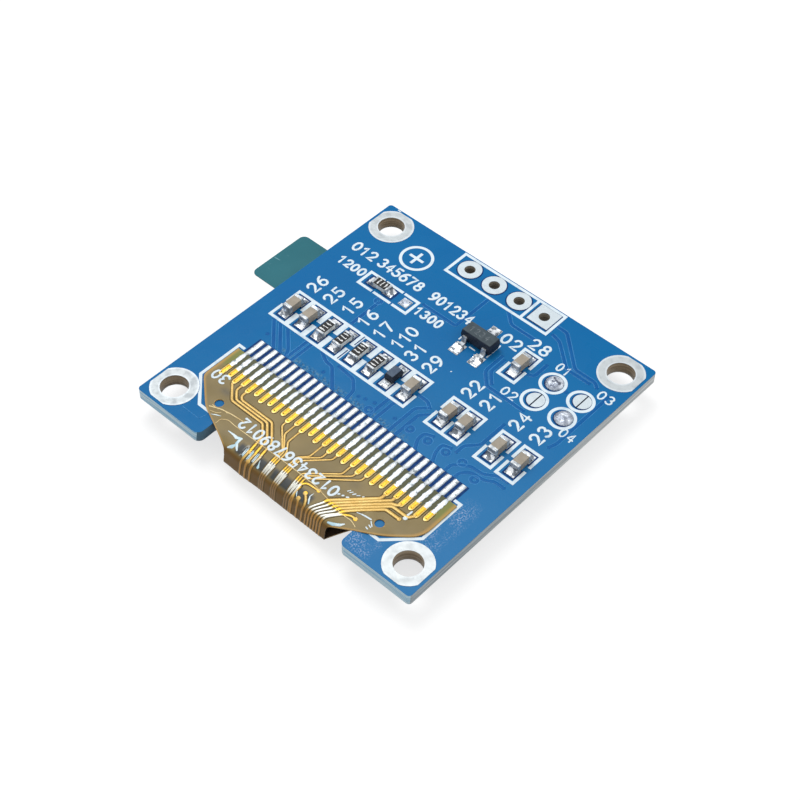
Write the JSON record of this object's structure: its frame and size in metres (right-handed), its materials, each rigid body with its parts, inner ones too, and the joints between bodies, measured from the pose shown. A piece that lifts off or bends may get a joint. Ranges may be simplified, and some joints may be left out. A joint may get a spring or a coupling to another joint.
{
  "type": "small oled display module",
  "caption": "Small blue circuit board with a sealed OLED glass beneath it, a folded flex cable soldered to its upper side, corner mounting holes and a header row.",
  "frame": {"origin": "on the axis of the four mounting holes, in the plane of the outer film on the display's viewing side", "axes": "+Z out of the component side, +Y towards the header holes, +X to the right when the component side is seen with the header at the top"},
  "size_m": [0.0319, 0.0278, 0.0037],
  "materials": {
    "board_mask": "blue solder mask over glass-fibre laminate, smooth and slightly glossy",
    "tinned_copper": "tinned copper, satin",
    "solder": "reflowed solder, bright and slightly uneven",
    "legend_ink": "white printed ink, matte",
    "capacitor_ceramic": "tan ceramic, matte",
    "resistor_ceramic": "white ceramic, matte",
    "chip_end": "tinned chip ends, satin",
    "resistor_glaze": "black glaze, satin",
    "moulded_body": "slate-grey moulded epoxy, matte",
    "lead_metal": "tinned leads, satin",
    "cable_film": "khaki polyimide film, smooth",
    "gold": "gold-plated copper, bright",
    "display_glass": "dark clear glass",
    "cap_glass": "etched glass, satin",
    "emitter_metal": "thin metal back of the light-emitting layer",
    "drying_pad": "white drying pad, matte",
    "polarizer": "dark polarizing film, glossy",
    "silicon": "bare driver chip, satin",
    "foam_tape": "black foam tape",
    "clear_film": "clear protective film",
    "tab_film": "teal translucent film"
  },
  "bodies": {
    "root": {"circuit_board": "board_mask", "mounting_ring_1": "tinned_copper", "mounting_ring_2": "tinned_copper", "mounting_ring_3": "tinned_copper", "mounting_ring_4": "tinned_copper", "header_land_1": "tinned_copper", "header_land_2": "tinned_copper", "header_land_3": "tinned_copper", "header_land_4": "tinned_copper", "contact_lands": "tinned_copper", "chip_lands": "tinned_copper", "jumper_land_1": "tinned_copper", "jumper_land_2": "tinned_copper", "jumper_land_3": "tinned_copper", "jumper_land_4": "tinned_copper", "jumper_solder_1": "solder", "jumper_solder_4": "solder", "legend": "legend_ink", "capacitor_1": "capacitor_ceramic", "capacitor_2": "capacitor_ceramic", "capacitor_3": "capacitor_ceramic", "capacitor_4": "capacitor_ceramic", "capacitor_5": "capacitor_ceramic", "capacitor_6": "capacitor_ceramic", "capacitor_7": "capacitor_ceramic", "capacitor_8": "capacitor_ceramic", "capacitor_ends": "chip_end", "resistor_1": "resistor_ceramic", "resistor_2": "resistor_ceramic", "resistor_3": "resistor_ceramic", "resistor_4": "resistor_ceramic", "resistor_5": "resistor_ceramic", "resistor_glaze": "resistor_glaze", "resistor_ends": "chip_end", "diode": "moulded_body", "diode_leads": "lead_metal", "regulator": "moulded_body", "regulator_legs": "lead_metal", "chip_solder": "solder", "flex_cable": "cable_film", "cable_copper": "gold", "contact_solder": "solder", "front_glass": "display_glass", "cap_glass": "cap_glass", "emitter_layer": "emitter_metal", "drying_pad": "drying_pad", "polarizer": "polarizer", "driver_chip": "silicon", "foam_tape": "foam_tape", "protective_film": "clear_film", "pull_tab": "tab_film"}
  },
  "joints": []
}
